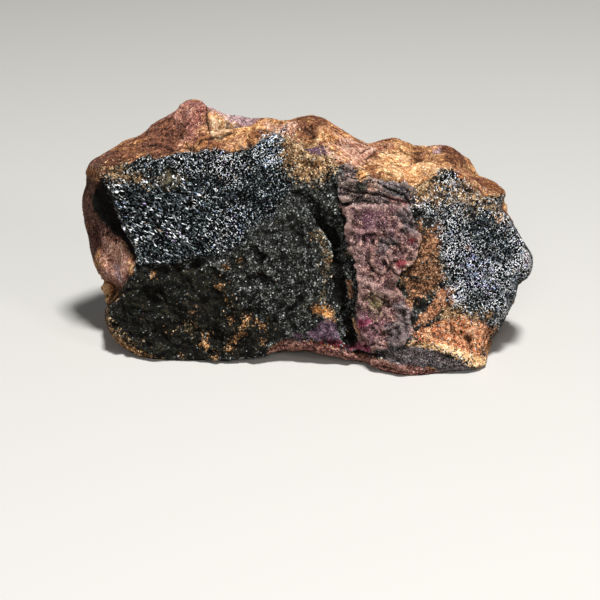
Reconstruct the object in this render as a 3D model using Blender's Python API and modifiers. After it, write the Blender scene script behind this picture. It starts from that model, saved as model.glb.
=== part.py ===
"""A hand specimen of pyrolusite on its iron-stained matrix, as one solid stone.

The stone lies on a flat broken base. Its black druse faces -Y, its length runs
along X and +Z is up. The origin is at the middle of the base. Sizes below are
in millimetres and are turned to metres where a mesh is made.
"""

import math

import bmesh
import bpy
from mathutils import Matrix, Vector, noise

MM = 0.001
STONE = "pyrolusite_rock"

# The eye that the stone's outline is drawn from: straight in front and a little above
EYE_TILT = math.radians(22.0)
EYE_DISTANCE = 400.0
AIM = Vector((-1.5, -12.6, 13.5))
LOOK = Vector((0.0, math.cos(EYE_TILT), -math.sin(EYE_TILT)))
RIGHT = Vector((1.0, 0.0, 0.0))
UP = RIGHT.cross(LOOK)
EYE = AIM - LOOK * EYE_DISTANCE

# Across and up from the aim point, round the stone from its left peak
OUTLINE = (
    (-21.8, 40.4), (-19.4, 39.6), (-16.2, 38.2), (-12.2, 37.0), (-7.2, 36.8),
    (-4.0, 36.2), (-1.4, 36.2), (1.0, 37.2), (2.4, 37.2), (5.0, 36.8),
    (6.8, 34.8), (10.6, 32.6), (13.8, 31.2), (18.4, 32.0), (23.4, 30.2),
    (27.2, 30.8), (29.8, 30.6), (32.0, 29.0), (34.2, 26.8), (37.4, 24.0),
    (40.6, 21.6), (40.4, 19.4), (42.6, 14.6), (44.4, 11.4), (46.6, 8.2),
    (46.0, 4.4), (43.8, 3.2), (42.6, 0.0), (40.6, -3.8), (37.8, -9.0),
    (36.2, -14.4), (33.0, -15.6), (25.4, -15.6), (18.4, -14.4), (12.0, -12.2),
    (4.4, -10.8), (0.4, -9.8), (-3.4, -9.8), (-6.6, -10.6), (-12.2, -11.8),
    (-19.2, -12.4), (-28.2, -12.4), (-32.0, -11.0), (-35.2, -9.6), (-38.4, -6.4),
    (-38.8, -2.0), (-38.4, 1.8), (-40.4, 6.4), (-42.2, 10.8), (-43.4, 15.2),
    (-43.6, 21.6), (-43.2, 24.8), (-42.2, 27.0), (-38.4, 29.6), (-32.6, 32.8),
    (-28.8, 35.4), (-23.8, 39.6),
)
NEAR_SIDE = -30.0
FAR_SIDE = 60.0

# Each break is a flat face: a point on it, and the way it looks out
BREAKS = {
    "black front": ((-21.0, -13.0, 0.0), (-0.12, -1.0, 0.145)),
    "right druse": ((20.0, -19.0, 0.0), (0.28, -1.0, 0.19)),
    "left end": ((-41.0, -7.0, 24.0), (-0.93, -0.37, 0.04)),
    "left back": ((-38.0, 14.0, 20.0), (-0.62, 0.78, 0.10)),
    "back crest": ((-23.0, 13.5, 46.0), (-0.16, 0.72, 0.67)),
    "right crest": ((20.0, 13.0, 36.0), (0.20, 0.66, 0.72)),
    "back wall": ((0.0, 21.0, 16.0), (0.02, 0.98, 0.18)),
    "left back wall": ((-20.0, 19.6, 12.0), (-0.34, 0.93, 0.02)),
    "right back wall": ((18.0, 19.6, 22.0), (0.30, 0.88, 0.36)),
    "back foot": ((4.0, 18.5, 4.0), (0.10, 0.84, -0.54)),
    "right back": ((36.0, 11.0, 18.0), (0.74, 0.66, 0.12)),
    "base": ((0.0, 0.0, 0.0), (0.0, 0.0, -1.0)),
}

# Heights of the broken top at each place across, from its front to its crest
ROOF_DEPTHS = (-16.0, -8.0, -1.0, 5.0, 11.0)
ROOF = {
    -50.0: (31.0, 32.0, 32.0, 32.0, 32.0),
    -44.0: (36.0, 37.0, 37.0, 37.4, 37.4),
    -38.0: (39.6, 40.4, 40.4, 40.6, 41.4),
    -32.0: (40.6, 41.4, 41.6, 42.6, 43.8),
    -24.0: (41.8, 42.8, 44.6, 48.0, 50.0),
    -18.0: (42.2, 43.1, 44.2, 46.6, 47.8),
    -12.0: (42.6, 43.8, 44.0, 45.2, 46.2),
    -6.0: (44.0, 46.6, 45.8, 45.0, 46.4),
    1.0: (38.0, 43.0, 47.2, 46.8, 46.6),
    8.0: (37.0, 39.4, 43.6, 44.0, 43.8),
    14.0: (37.6, 39.2, 39.6, 40.2, 40.4),
    21.0: (37.4, 38.4, 39.0, 40.8, 41.0),
    28.0: (39.4, 40.4, 40.4, 39.4, 40.4),
    34.0: (34.0, 35.2, 35.8, 36.2, 36.4),
    40.0: (30.0, 31.4, 31.4, 31.0, 31.0),
    50.0: (22.0, 24.0, 24.0, 24.0, 24.0),
}
ROOF_END = 30.0
SKY = 70.0

# Round chips: the middle and the size of the ball that fits each hollow
CHIPS = {
    "left edge": ((-55.0, -17.0, 24.0), 21.8),
    "back hollow": ((8.0, 46.0, 13.0), 28.5),
    "back shoulder": ((-27.0, 36.0, 40.0), 21.0),
    "right heel": ((54.0, 24.0, 2.0), 19.0),
}
BALL_SUBDIVISIONS = 4

# Swells of the front: across, up, their half widths, and how far they stand out
SWELLS = {
    "black bulge": (-9.0, 21.0, 19.0, 15.0, 2.6),
    "left lobe": (-31.0, 6.0, 9.0, 8.0, 1.4),
    "matrix block": (15.5, 21.0, 8.0, 18.0, 0.9),
}

# The shelf along the foot of the right front: its upper edge, from left to right
SHELF_EDGE = ((14.0, 6.0), (20.5, 6.7), (26.0, 5.5), (31.5, 4.4), (36.0, 1.8), (42.0, 0.5))
SHELF_REACH = 3.4
SHELF_SLOPE = 7.0
SHELF_UNDERCUT = 0.8
SHELF_LIP = (0.5, 3.0)
SHELF_LEFT_END = (12.0, 19.0)
SHELF_RIGHT_END = (45.0, 39.0)

# The shadowed gully between the black bulge and the matrix block, from its top
GULLY = (
    (-1.5, 36.0), (1.5, 32.0), (3.8, 29.0), (5.8, 26.0), (7.0, 23.5),
    (6.4, 20.5), (7.6, 13.5), (8.8, 8.0), (11.0, 3.0),
)
GULLY_DEPTH = 4.4
GULLY_HALF_WIDTH = 2.6
GULLY_FLOOR = 0.8
GULLY_HEAD = 0.2

# The front's shapes are whole at one depth and have faded out at the other
FRONT_FADE = (6.0, -7.0)

# Grain and height of each layer of the skin's roughness, and of one for the back only
ROUGHNESS = ((13.0, 0.9), (5.0, 0.45))
BACK_ROUGHNESS = (22.0, 3.4)
BACK_FADE = (5.0, 15.0)
CALM_BASE = 1.5
BASE_CUT = 0.1

# How finely the stone is made: the grain of its skin and the last count of faces
SKIN_GRAIN = 1.0
SKIN_ROUNDS = 2
TRIANGLES = 8600

# The solid's own plain material
CRUST_COLOR = (0.045, 0.035, 0.032, 1.0)
CRUST_ROUGHNESS = 0.7
CRUST_METALLIC = 0.1


def smooth_step(start, end, value):
    """0 at the start, 1 at the end, and an even rise between them."""
    share = min(max((value - start) / (end - start), 0.0), 1.0)
    return share * share * (3.0 - 2.0 * share)


def crust_material():
    """The plain dark crust."""
    material = bpy.data.materials.new("pyrolusite_crust")
    material.use_nodes = True
    shader = material.node_tree.nodes["Principled BSDF"]
    shader.inputs["Base Color"].default_value = CRUST_COLOR
    shader.inputs["Roughness"].default_value = CRUST_ROUGHNESS
    shader.inputs["Metallic"].default_value = CRUST_METALLIC
    return material


def object_of(mesh, name, collection):
    """The mesh as an object of this name."""
    data = bpy.data.meshes.new(name)
    mesh.to_mesh(data)
    mesh.free()
    made = bpy.data.objects.new(name, data)
    collection.objects.link(made)
    return made


def points_of(geometry):
    """The points among what an operator made."""
    return [part for part in geometry if isinstance(part, bmesh.types.BMVert)]


def outline_block():
    """A block sawn to the outline, its sides running away from the eye."""
    mesh = bmesh.new()
    drawn = [AIM + RIGHT * across + UP * up for across, up in OUTLINE]
    rim = [mesh.verts.new(place * MM) for place in drawn]
    whole = bmesh.ops.extrude_face_region(mesh, geom=[mesh.faces.new(rim)])
    about_eye = Matrix.Translation(-EYE * MM)
    for side, points in ((NEAR_SIDE, rim), (FAR_SIDE, points_of(whole["geom"]))):
        spread = Vector((1.0, 1.0, 1.0)) * (EYE_DISTANCE + side) / EYE_DISTANCE
        bmesh.ops.scale(mesh, vec=spread, space=about_eye, verts=points)
    bmesh.ops.recalc_face_normals(mesh, faces=mesh.faces)
    return mesh


def break_off(mesh, point, outward):
    """Breaks away all that lies past a flat face, and closes the stone there."""
    cut = bmesh.ops.bisect_plane(
        mesh,
        geom=mesh.verts[:] + mesh.edges[:] + mesh.faces[:],
        plane_co=Vector(point) * MM,
        plane_no=Vector(outward).normalized(),
        clear_outer=True,
    )
    rim = [edge for edge in cut["geom_cut"] if isinstance(edge, bmesh.types.BMEdge)]
    bmesh.ops.holes_fill(mesh, edges=rim)


def cutter_of(mesh, name, collection):
    """A shape that only cuts others."""
    cutter = object_of(mesh, name, collection)
    cutter.hide_render = True
    cutter.display_type = "WIRE"
    return cutter


def roof_cutter(collection):
    """Everything above the broken top."""
    mesh = bmesh.new()
    columns = []
    for across, heights in ROOF.items():
        places = [(across, depth, height) for depth, height in zip(ROOF_DEPTHS, heights)]
        places.append((across, ROOF_END, heights[-1]))
        columns.append([mesh.verts.new(Vector(place) * MM) for place in places])
    for left, right in zip(columns, columns[1:]):
        for near in range(len(ROOF_DEPTHS)):
            mesh.faces.new((left[near], right[near], right[near + 1], left[near + 1]))
    raised = bmesh.ops.extrude_face_region(mesh, geom=mesh.faces[:])
    for point in points_of(raised["geom"]):
        point.co.z = SKY * MM
    bmesh.ops.recalc_face_normals(mesh, faces=mesh.faces)
    return cutter_of(mesh, "roof", collection)


def chip_cutter(name, centre, radius, collection):
    """A ball that leaves a round chip where it meets the stone."""
    mesh = bmesh.new()
    bmesh.ops.create_icosphere(mesh, subdivisions=BALL_SUBDIVISIONS, radius=radius * MM)
    bmesh.ops.translate(mesh, vec=Vector(centre) * MM, verts=mesh.verts)
    return cutter_of(mesh, name, collection)


def cut_away(stone, cutter):
    """Takes a cutter's shape out of the stone."""
    cut = stone.modifiers.new(cutter.name, "BOOLEAN")
    cut.operation = "DIFFERENCE"
    cut.object = cutter


def apply_modifiers(stone):
    """Makes what the modifiers show the stone's own mesh."""
    graph = bpy.context.evaluated_depsgraph_get()
    finished = bpy.data.meshes.new_from_object(stone.evaluated_get(graph))
    stone.modifiers.clear()
    old = stone.data
    stone.data = finished
    bpy.data.meshes.remove(old)
    finished.name = STONE


def grow_skin(stone):
    """Gives the stone a fine even skin in place of its large or stretched faces."""
    skin = stone.modifiers.new("skin", "REMESH")
    skin.mode = "VOXEL"
    skin.voxel_size = SKIN_GRAIN * MM
    rounding = stone.modifiers.new("rounding", "SMOOTH")
    rounding.iterations = SKIN_ROUNDS
    apply_modifiers(stone)


def along_line(line, across, up):
    """How far a place is from a line, and how far along it, from 0 to 1."""
    here = Vector((across, up))
    nearest, share = math.inf, 0.0
    for number, (start, end) in enumerate(zip(line, line[1:])):
        run = Vector(end) - Vector(start)
        off = here - Vector(start)
        part = min(max(off.dot(run) / run.length_squared, 0.0), 1.0)
        distance = (off - run * part).length
        if distance < nearest:
            nearest, share = distance, (number + part) / (len(line) - 1)
    return nearest, share


def level_of(line, across):
    """The height of a line that runs from left to right, at a place across."""
    for (left, low), (right, high) in zip(line, line[1:]):
        if left <= across <= right:
            return low + (high - low) * (across - left) / (right - left)
    return line[0][1] if across < line[0][0] else line[-1][1]


def swells(across, up):
    """How far the round swells stand out of the front."""
    out = 0.0
    for middle, height, half_width, half_height, reach in SWELLS.values():
        off = ((across - middle) / half_width) ** 2 + ((up - height) / half_height) ** 2
        out += reach * math.exp(-off)
    return out


def shelf(across, up):
    """How far the shelf stands out of the front."""
    edge = level_of(SHELF_EDGE, across)
    ends = smooth_step(*SHELF_LEFT_END, across) * smooth_step(*SHELF_RIGHT_END, across)
    slope = smooth_step(edge + SHELF_SLOPE, edge, up)
    under = smooth_step(edge - SHELF_LIP[0], edge - SHELF_LIP[1], up)
    return ends * (SHELF_REACH * slope - SHELF_UNDERCUT * under)


def gully(across, up):
    """How deep the gully runs into the front."""
    distance, share = along_line(GULLY, across, up)
    wall = smooth_step(GULLY_HALF_WIDTH, GULLY_FLOOR, distance)
    return GULLY_DEPTH * wall * smooth_step(0.0, GULLY_HEAD, share)


def shape_front(stone):
    """Brings the front's points out and in to its shapes."""
    for point in stone.data.vertices:
        across, depth, up = point.co / MM
        whole = smooth_step(*FRONT_FADE, depth)
        out = swells(across, up) + shelf(across, up) - gully(across, up)
        point.co.y -= whole * out * MM


def roughness(place):
    """How far the broken skin stands out or in at a place."""
    grain, rise = BACK_ROUGHNESS
    height = rise * noise.noise(place / grain) * smooth_step(*BACK_FADE, place.y)
    for grain, rise in ROUGHNESS:
        height += rise * noise.noise(place / grain)
    return height * smooth_step(0.0, CALM_BASE, place.z)


def roughen(stone):
    """Moves the skin's points out and in as a broken surface is."""
    normals = [point.normal.copy() for point in stone.data.vertices]
    for point, outward in zip(stone.data.vertices, normals):
        point.co += outward * roughness(point.co / MM) * MM


def thin_out(stone):
    """Leaves faces only where the shape needs them."""
    now = sum(len(face.vertices) - 2 for face in stone.data.polygons)
    thinning = stone.modifiers.new("thin out", "DECIMATE")
    thinning.ratio = TRIANGLES / now
    apply_modifiers(stone)


def cut_base(stone):
    """Breaks the foot off flat, so that the stone rests on it."""
    mesh = bmesh.new()
    mesh.from_mesh(stone.data)
    break_off(mesh, (0.0, 0.0, BASE_CUT), (0.0, 0.0, -1.0))
    mesh.to_mesh(stone.data)
    mesh.free()


def rest_on_origin(stone):
    """Brings the middle of the stone's base to the origin."""
    places = [point.co for point in stone.data.vertices]
    low = Vector(min(place[axis] for place in places) for axis in range(3))
    high = Vector(max(place[axis] for place in places) for axis in range(3))
    middle = (low + high) / 2
    stone.data.transform(Matrix.Translation((-middle.x, -middle.y, -low.z)))


def new_collection(name):
    """An empty collection in the scene."""
    collection = bpy.data.collections.new(name)
    bpy.context.scene.collection.children.link(collection)
    return collection


def main():
    for leftover in list(bpy.data.objects):
        bpy.data.objects.remove(leftover)
    cutters = new_collection("cutters")
    block = outline_block()
    for point, outward in BREAKS.values():
        break_off(block, point, outward)
    stone = object_of(block, STONE, new_collection(STONE))
    cut_away(stone, roof_cutter(cutters))
    for name, (centre, radius) in CHIPS.items():
        cut_away(stone, chip_cutter(name, centre, radius, cutters))
    grow_skin(stone)
    shape_front(stone)
    grow_skin(stone)
    roughen(stone)
    thin_out(stone)
    cut_base(stone)
    rest_on_origin(stone)
    stone.data.materials.append(crust_material())


main()
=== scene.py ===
"""A pyrolusite hand specimen: iron-stained stone, a dull black crust and a sparkling steel-grey druse."""
import math

import bpy
import numpy as np
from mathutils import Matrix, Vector
from mathutils.bvhtree import BVHTree


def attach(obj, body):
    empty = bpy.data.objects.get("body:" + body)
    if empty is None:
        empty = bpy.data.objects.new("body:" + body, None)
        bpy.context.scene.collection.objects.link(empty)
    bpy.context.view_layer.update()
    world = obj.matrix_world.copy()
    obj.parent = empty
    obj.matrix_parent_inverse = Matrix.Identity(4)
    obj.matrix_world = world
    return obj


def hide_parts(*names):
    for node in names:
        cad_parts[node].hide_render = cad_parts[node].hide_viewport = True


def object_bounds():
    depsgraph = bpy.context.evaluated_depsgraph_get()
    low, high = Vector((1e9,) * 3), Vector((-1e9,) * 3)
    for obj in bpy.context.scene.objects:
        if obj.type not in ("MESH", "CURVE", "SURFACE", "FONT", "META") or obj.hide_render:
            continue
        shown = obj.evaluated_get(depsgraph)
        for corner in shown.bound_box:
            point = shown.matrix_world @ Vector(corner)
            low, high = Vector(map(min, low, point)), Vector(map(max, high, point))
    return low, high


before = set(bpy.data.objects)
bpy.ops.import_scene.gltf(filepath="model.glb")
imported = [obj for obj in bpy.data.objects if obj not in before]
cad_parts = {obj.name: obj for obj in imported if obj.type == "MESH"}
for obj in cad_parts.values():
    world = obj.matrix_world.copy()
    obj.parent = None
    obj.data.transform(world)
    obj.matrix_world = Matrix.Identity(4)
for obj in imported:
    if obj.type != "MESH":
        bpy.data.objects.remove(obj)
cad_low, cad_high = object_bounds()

# Lengths in this script are in millimetres. A piece is turned to metres when it is finished.
MM = 0.001
NODE = "pyrolusite_rock"

# The photograph's view. One of its 600 pixels spans PIXEL on the plane through AIM that faces the eye.
EYE_TILT = math.radians(22)
EYE_DISTANCE = 400.0
AIM = np.array((-1.52, -14.41, 13.40))
PIXEL = 0.2
PICTURE_MIDDLE = 300
SENSOR = 36.0
LOOK = np.array((0.0, math.cos(EYE_TILT), -math.sin(EYE_TILT)))
UP = np.array((0.0, math.sin(EYE_TILT), math.cos(EYE_TILT)))
EYE = AIM - EYE_DISTANCE * LOOK

# The stone's mesh: an even grid that leaves out the solid's facets, halved where the photograph sees it.
GRID = 0.665
WELD = 0.01  # vertices this near are one
GRID_SMOOTHING = 4  # rounds that take the facets off
RESHARPENING = 1.9  # how much of each round's loss is given back, so that corners keep their reach
NORMAL_SMOOTHING = 14
HALVED_FACING = -0.12  # faces that look at the eye more than this are halved
FRONT_FACING = 0.02
FRONT_DEPTH = 5.0  # a wall this far behind what the eye meets still belongs to the front
OUT_OF_SIGHT = 50.0
MOST_PROUD = 0.4  # how far the relief may pass the solid's box
GRAIN_FOOT = (0.4, 1.0)  # grains thin out between these heights, so that none meets the ground
CRUST_GRAIN = (0.36, 0.33, 0.30)  # really finer than a pixel, and drawn this coarse so that it shows
MOST_GRAINS = 15500  # of 12 triangles each, so that a piece stays under 200,000
VIEWS = {  # the stone's map: which axis a face looks along and whether up it, its part's corner and size
    (1, False): ((0, 0.5), (1, 0.5)),
    (1, True): ((0, 0.25), (0.5, 0.25)),
    (2, True): ((0, 0), (0.5, 0.25)),
    (2, False): ((0.5, 0), (0.5, 0.25)),
    (0, False): ((0.5, 0.25), (0.25, 0.25)),
    (0, True): ((0.75, 0.25), (0.25, 0.25)),
}
VIEW_MARGIN = 0.004

# Outlines of the mineral zones and of the painted highlights and shadows, in the photograph's pixels, as
# the eye sees them
LEFT_DRUSE = [(108, 178), (137, 158), (188, 151), (239, 149), (264, 134), (286, 131), (283, 150),
    (284, 172), (292, 187), (281, 206), (268, 220), (254, 230), (240, 244), (216, 255), (195, 258),
    (177, 264), (150, 264), (135, 268), (133, 242), (124, 228), (117, 218), (112, 200)]
RIGHT_DRUSE = [(411, 206), (424, 196), (438, 176), (452, 168), (465, 185), (486, 194), (504, 198),
    (520, 225), (533, 252), (534, 270), (522, 276), (516, 290), (506, 316), (492, 328), (466, 318),
    (453, 306), (449, 290), (443, 274), (440, 254), (438, 226), (424, 216)]
BLUE_TIP = [(252, 150), (262, 134), (286, 130), (284, 160), (270, 168), (256, 164)]
OUTLINES = {
    "front": [[(101, 176), (114, 166), (137, 160), (162, 158), (188, 153), (214, 152), (239, 151),
        (251, 146), (264, 136), (283, 132), (290, 143), (305, 152), (320, 156), (334, 166), (346, 164),
        (357, 170), (378, 179), (402, 183), (416, 188), (430, 178), (441, 170), (452, 171), (465, 187),
        (486, 196), (500, 200), (540, 255), (540, 290), (515, 300), (495, 345), (488, 385), (465, 373),
        (435, 369), (405, 363), (380, 357), (354, 352), (333, 347), (309, 341), (285, 341), (267, 352),
        (262, 372), (150, 372), (122, 344), (108, 328), (104, 310), (114, 296), (130, 283), (135, 268),
        (131, 250), (122, 234), (110, 206)]],
    "lobe": [[(131, 268), (150, 270), (176, 262), (196, 262), (214, 270), (226, 286), (238, 306),
        (262, 322), (280, 338), (264, 352), (204, 364), (150, 364), (104, 340), (102, 306), (118, 290)]],
    "druse": [LEFT_DRUSE, RIGHT_DRUSE],
    "olive": [
        [(312, 232), (322, 233), (331, 242), (333, 262), (329, 284), (326, 298), (321, 298), (323, 272),
         (321, 252)],
        [(160, 176), (174, 172), (186, 180), (178, 189), (164, 187)],
        [(112, 165), (128, 163), (134, 168), (120, 172)],
        [(172, 322), (196, 322), (206, 332), (190, 336)],
    ],
    "stain": [
        [(104, 172), (120, 170), (138, 176), (154, 184), (150, 188), (134, 186), (118, 180)],
        [(284, 134), (300, 140), (318, 138), (333, 152), (334, 168), (322, 180), (304, 178), (287, 166)],
        [(408, 188), (422, 180), (438, 178), (444, 194), (436, 208), (416, 204)],
        [(448, 182), (462, 182), (484, 196), (500, 204), (496, 212), (470, 212), (452, 202)],
        [(440, 302), (458, 308), (484, 322), (462, 324), (438, 320)],
        [(98, 312), (106, 316), (114, 330), (130, 346), (124, 350), (104, 334)],
    ],
    "gully": [
        [(320, 221), (328, 228), (336, 244), (342, 262), (343, 282), (345, 300), (349, 316), (355, 332),
         (360, 346), (351, 342), (344, 326), (338, 306), (337, 286), (336, 270), (332, 250), (326, 236)],
        [(356, 183), (366, 183), (368, 190), (358, 190)],
    ],
    # A near-black band between the left wall and the druse: a painted shadow in the groove there
    "gap": [[(96, 176), (106, 177), (111, 200), (117, 220), (131, 240), (134, 262), (129, 262), (122, 243),
        (112, 230), (102, 220), (97, 200)]],
    "matrix": [[(339, 205), (360, 202), (376, 204), (405, 202), (412, 214), (420, 232), (420, 244),
        (414, 262), (404, 272), (397, 284), (404, 294), (413, 304), (410, 320), (415, 331), (405, 344),
        (390, 350), (375, 353), (352, 350), (359, 330), (357, 307), (356, 289), (358, 271), (353, 256),
        (349, 241), (344, 217)]],
    "purple": [
        [(292, 338), (315, 324), (333, 318), (341, 328), (340, 344), (315, 341)],
        [(303, 145), (322, 144), (327, 151), (318, 157), (308, 154)],
    ],
    "magenta": [
        [(362, 318), (367, 316), (371, 320), (368, 326), (362, 325)],
        [(350, 343), (362, 341), (374, 347), (368, 353), (353, 351)],
    ],
    "mauve": [
        [(386, 230), (394, 228), (396, 238), (388, 240)],
        [(354, 210), (372, 206), (384, 222), (378, 240), (366, 244), (356, 228)],
        [(356, 300), (378, 306), (384, 326), (372, 338), (358, 330)],
    ],
    "red": [
        [(393, 262), (398, 257), (405, 260), (403, 268), (396, 271)],
        [(318, 341), (350, 342), (350, 347), (320, 346)],
        [(408, 238), (413, 238), (412, 244), (407, 243)],
    ],
    "yellowed": [[(364, 294), (378, 291), (389, 300), (385, 314), (370, 314)]],
    "greyed": [
        [(392, 206), (412, 206), (419, 234), (404, 232), (396, 220)],
        [(390, 300), (404, 300), (413, 312), (412, 340), (392, 348), (388, 330), (396, 318)],
        [(374, 236), (392, 234), (400, 244), (384, 250)],
    ],
    # Pale pinkish grey along the matrix slab's top and left edges, its ridge and the right tip's edge: a
    # painted highlight where the edges catch the light
    "pale_edge": [
        [(340, 204), (410, 202), (411, 207), (376, 208), (346, 209)],
        [(344, 210), (354, 210), (356, 238), (366, 262), (361, 270), (350, 240)],
        [(358, 274), (368, 276), (384, 290), (390, 297), (380, 299), (368, 290), (358, 284)],
        [(524, 252), (532, 252), (534, 270), (528, 273)],
    ],
    "ledges": [[(336, 180), (345, 163), (358, 168), (378, 178), (404, 182), (415, 192), (413, 204),
        (376, 202), (345, 203), (338, 198)]],
    "rust": [
        [(420, 221), (425, 235), (432, 232), (435, 222), (440, 224), (440, 253), (443, 276), (440, 285),
         (429, 279), (414, 276), (404, 280), (404, 268), (414, 262), (417, 250), (420, 238), (417, 229)],
        [(404, 298), (412, 296), (416, 304), (408, 308)],
        [(400, 276), (434, 278), (436, 288), (424, 296), (412, 300), (402, 292)],
        [(308, 310), (319, 305), (331, 309), (336, 320), (330, 318), (321, 312)],
    ],
    "streak": [[(452, 287), (452, 300), (441, 311), (434, 321), (424, 326), (414, 325), (421, 314),
        (432, 301), (442, 291)]],
    "ledge": [
        [(412, 334), (423, 324), (444, 318), (462, 318), (478, 321), (497, 326), (494, 346), (488, 366),
         (478, 367), (462, 357), (444, 351), (429, 347), (406, 347), (416, 340)],
        [(345, 279), (349, 281), (353, 294), (349, 299), (346, 288)],
        [(349, 312), (355, 318), (360, 332), (354, 330)],
    ],
    "band": [
        [(380, 181), (396, 183), (409, 191), (414, 203), (402, 199), (384, 192)],
        [(375, 351), (402, 346), (424, 347), (444, 353), (460, 361), (478, 369), (488, 374), (484, 382),
         (462, 376), (435, 369), (405, 364), (388, 359)],
    ],
    # Cream along the lower rim of the orange ledge: partly the rind's cream, partly a painted highlight
    # where the rim faces up into the light
    "cream_edge": [[(404, 350), (408, 343), (430, 342), (446, 345), (462, 350), (478, 356), (492, 356),
        (490, 372), (476, 369), (460, 360), (438, 352)]],
    "cream": [[(372, 158), (380, 152), (398, 152), (424, 160), (440, 168), (430, 177), (408, 181),
        (390, 178), (380, 170)]],
    "golden": [
        [(234, 123), (250, 124), (270, 126), (288, 128), (278, 133), (252, 131), (236, 132)],
        [(309, 311), (320, 306), (331, 310), (336, 320), (331, 318), (320, 312)],
        [(203, 334), (207, 340), (208, 350), (204, 349), (202, 341)],
        [(359, 172), (366, 171), (367, 180), (361, 181)],
    ],
    "shelf": [[(210, 118), (228, 116), (240, 121), (232, 130), (218, 137), (211, 134)]],
    "blush": [
        [(332, 142), (350, 138), (374, 148), (376, 158), (356, 164), (338, 158)],
        [(262, 122), (286, 124), (292, 130), (276, 132)],
        [(369, 184), (375, 185), (374, 191), (369, 190)],
        [(104, 238), (122, 246), (130, 266), (118, 280), (104, 270)],
    ],
    # Pale lavender on the peak's skyline crest, a knob at the top right and the left wall: painted
    # highlights
    "lavender": [
        [(204, 100), (222, 108), (246, 114), (262, 118), (250, 125), (226, 118), (209, 114)],
        [(432, 146), (441, 146), (440, 152), (433, 152)],
        [(112, 264), (119, 266), (119, 282), (113, 280)],
    ],
    "wine": [
        [(178, 104), (192, 95), (204, 101), (206, 108), (194, 110), (184, 114)],
        [(186, 122), (204, 110), (206, 116), (192, 128)],
        [(360, 151), (374, 147), (390, 146), (388, 152), (370, 156)],
        [(384, 193), (398, 196), (410, 200), (404, 203), (388, 199)],
    ],
    "umber": [
        [(96, 176), (104, 160), (130, 142), (156, 122), (176, 118), (184, 136), (170, 152), (130, 162)],
        [(284, 114), (312, 110), (330, 118), (322, 130), (296, 128)],
        [(434, 144), (460, 146), (470, 162), (448, 158)],
    ],
    "pink": [
        [(140, 132), (168, 112), (192, 96), (206, 104), (204, 120), (192, 138), (176, 148), (158, 150),
         (140, 148)],
        [(97, 228), (112, 236), (127, 250), (133, 272), (126, 284), (112, 292), (100, 284), (98, 260)],
        [(510, 228), (524, 236), (530, 250), (522, 250), (512, 240)],
    ],
    "rim": [[(262, 372), (267, 352), (285, 341), (309, 341), (354, 354), (405, 363), (470, 376),
        (470, 386)]],
    # The left wall's dark browns are partly its own colour and partly painted shade on the side turned from
    # the light
    "wall": [
        [(80, 178), (100, 176), (108, 206), (122, 240), (112, 246), (101, 250), (94, 262), (80, 230)],
        [(86, 166), (110, 150), (124, 158), (104, 176)],
    ],
}
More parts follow.
